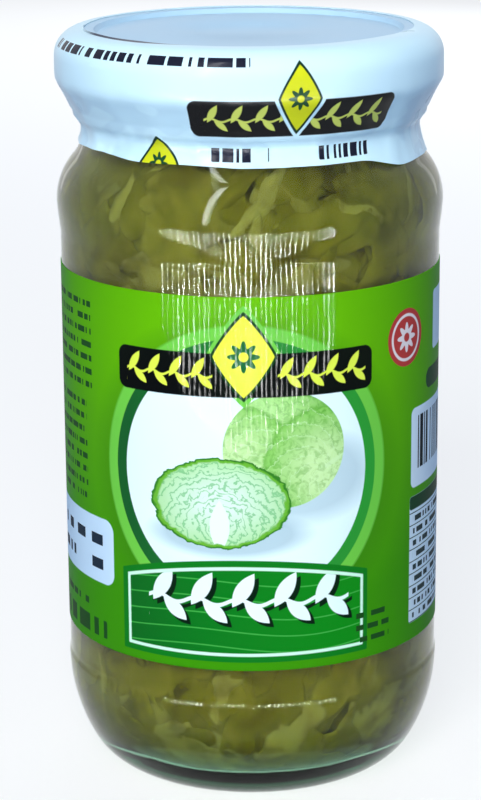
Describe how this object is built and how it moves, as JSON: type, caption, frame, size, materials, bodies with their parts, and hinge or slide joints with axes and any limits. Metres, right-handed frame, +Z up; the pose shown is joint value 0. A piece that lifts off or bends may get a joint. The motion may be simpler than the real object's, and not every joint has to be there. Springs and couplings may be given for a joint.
{
  "type": "sauerkraut jar",
  "caption": "Round glass preserving jar filled with shredded sauerkraut in brine, with a metal lid, a thin seal film over lid and neck and a wrap paper label.",
  "frame": {"origin": "centre of the ring the jar stands on", "axes": "+Z up along the jar's axis, -Y towards the middle of the label"},
  "size_m": [0.0668, 0.0668, 0.1313],
  "materials": {
    "clear_glass": "clear soda-lime glass with a faint green cast, fire-polished",
    "pickled_cabbage": "wet olive-yellow cabbage shreds in brine",
    "lacquered_sheet": "pale lacquered sheet metal, satin",
    "film": "thin glossy white film with soft creases",
    "paper": "coated paper printed in greens, light gloss"
  },
  "bodies": {
    "root": {"glass_jar": "clear_glass", "sauerkraut": "pickled_cabbage", "lid": "lacquered_sheet", "seal_film": "film", "label": "paper"}
  },
  "joints": []
}
